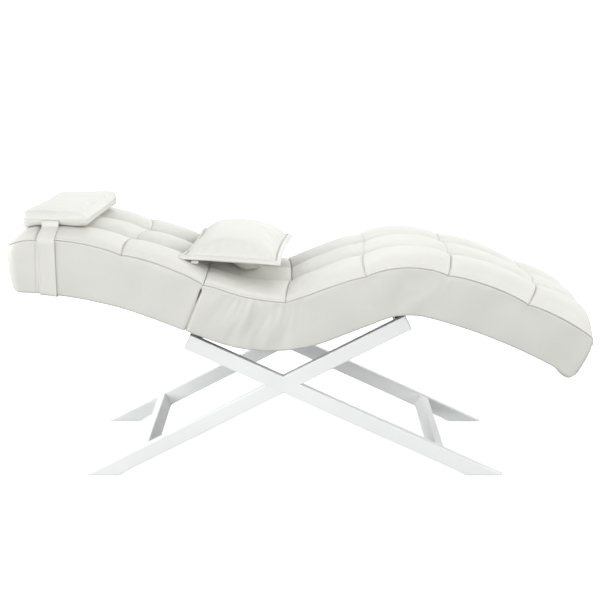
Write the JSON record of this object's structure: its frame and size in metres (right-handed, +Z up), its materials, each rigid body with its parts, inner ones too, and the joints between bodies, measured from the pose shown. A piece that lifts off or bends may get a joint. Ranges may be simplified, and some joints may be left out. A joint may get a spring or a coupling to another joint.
{
  "type": "eyelash extension bed",
  "caption": "Wave-shaped salon bed: a tufted off-white pad on welded steel X trestles, with a strapped head pillow that slides off and a loose zipped lumbar cushion.",
  "frame": {"origin": "on the floor, under the middle of the whole object", "axes": "+X towards the foot end, +Y towards the client's left side, +Z up"},
  "size_m": [1.8573, 0.6106, 0.8708],
  "materials": {
    "leatherette": "satin, fine grain",
    "powder_coat": "satin powder coat",
    "plastic": "matte",
    "steel": "zinc plated",
    "plywood": "raw plywood",
    "foam": "open-cell foam",
    "cloth": "non-woven cloth",
    "elastic": "woven elastic webbing"
  },
  "bodies": {
    "bed": {"foot_stretcher": "powder_coat", "head_bottom_cloth": "cloth", "head_deck": "plywood", "head_foam": "foam", "head_frame_bolt_left": "steel", "head_frame_bolt_right": "steel", "head_lower_band": "leatherette", "head_lower_end_board": "plywood", "head_quilt": "leatherette", "head_rail": "powder_coat", "head_side_band_left": "leatherette", "head_side_band_right": "leatherette", "head_side_rail_left": "plywood", "head_side_rail_right": "plywood", "head_slat_1": "plywood", "head_stretcher": "powder_coat", "head_upper_band": "leatherette", "head_upper_end_board": "plywood", "join_bolt_left": "steel", "join_bolt_right": "steel", "knee_frame_bolt_left": "steel", "knee_frame_bolt_right": "steel", "knee_rail": "powder_coat", "left_foot_floor_pad": "plastic", "left_head_end_cap": "plastic", "left_head_floor_pad": "plastic", "left_knee_end_cap": "plastic", "left_long_bar": "powder_coat", "left_lower_bar": "powder_coat", "left_upper_bar": "powder_coat", "right_foot_floor_pad": "plastic", "right_head_end_cap": "plastic", "right_head_floor_pad": "plastic", "right_knee_end_cap": "plastic", "right_long_bar": "powder_coat", "right_lower_bar": "powder_coat", "right_upper_bar": "powder_coat", "seat_bottom_cloth": "cloth", "seat_deck": "plywood", "seat_foam": "foam", "seat_head_bearer": "plywood", "seat_knee_bearer": "plywood", "seat_lower_band": "leatherette", "seat_lower_end_board": "plywood", "seat_quilt": "leatherette", "seat_side_band_left": "leatherette", "seat_side_band_right": "leatherette", "seat_side_rail_left": "plywood", "seat_side_rail_right": "plywood", "seat_slat_1": "plywood", "seat_slat_2": "plywood", "seat_upper_band": "leatherette", "seat_upper_end_board": "plywood"},
    "pillow": {"head_pillow": "leatherette", "pillow_strap": "elastic"},
    "cushion": {"lumbar_cushion": "leatherette", "zip_tape": "cloth"},
    "zip": {"zip_slider": "steel", "zip_pull": "leatherette"}
  },
  "joints": [
    {"name": "head_pillow_slide", "type": "slide", "parent": "bed", "child": "pillow", "axis": [-0.9969, 0, 0.0785], "range_m": [0, 0.2]},
    {"name": "cushion_lift", "type": "slide", "parent": "bed", "child": "cushion", "axis": [0, 0, 1], "range_m": [0, 0.25]},
    {"name": "zip_slide", "type": "slide", "parent": "cushion", "child": "zip", "axis": [0.9962, -0.0697, -0.0523], "range_m": [0, 0.226]}
  ]
}
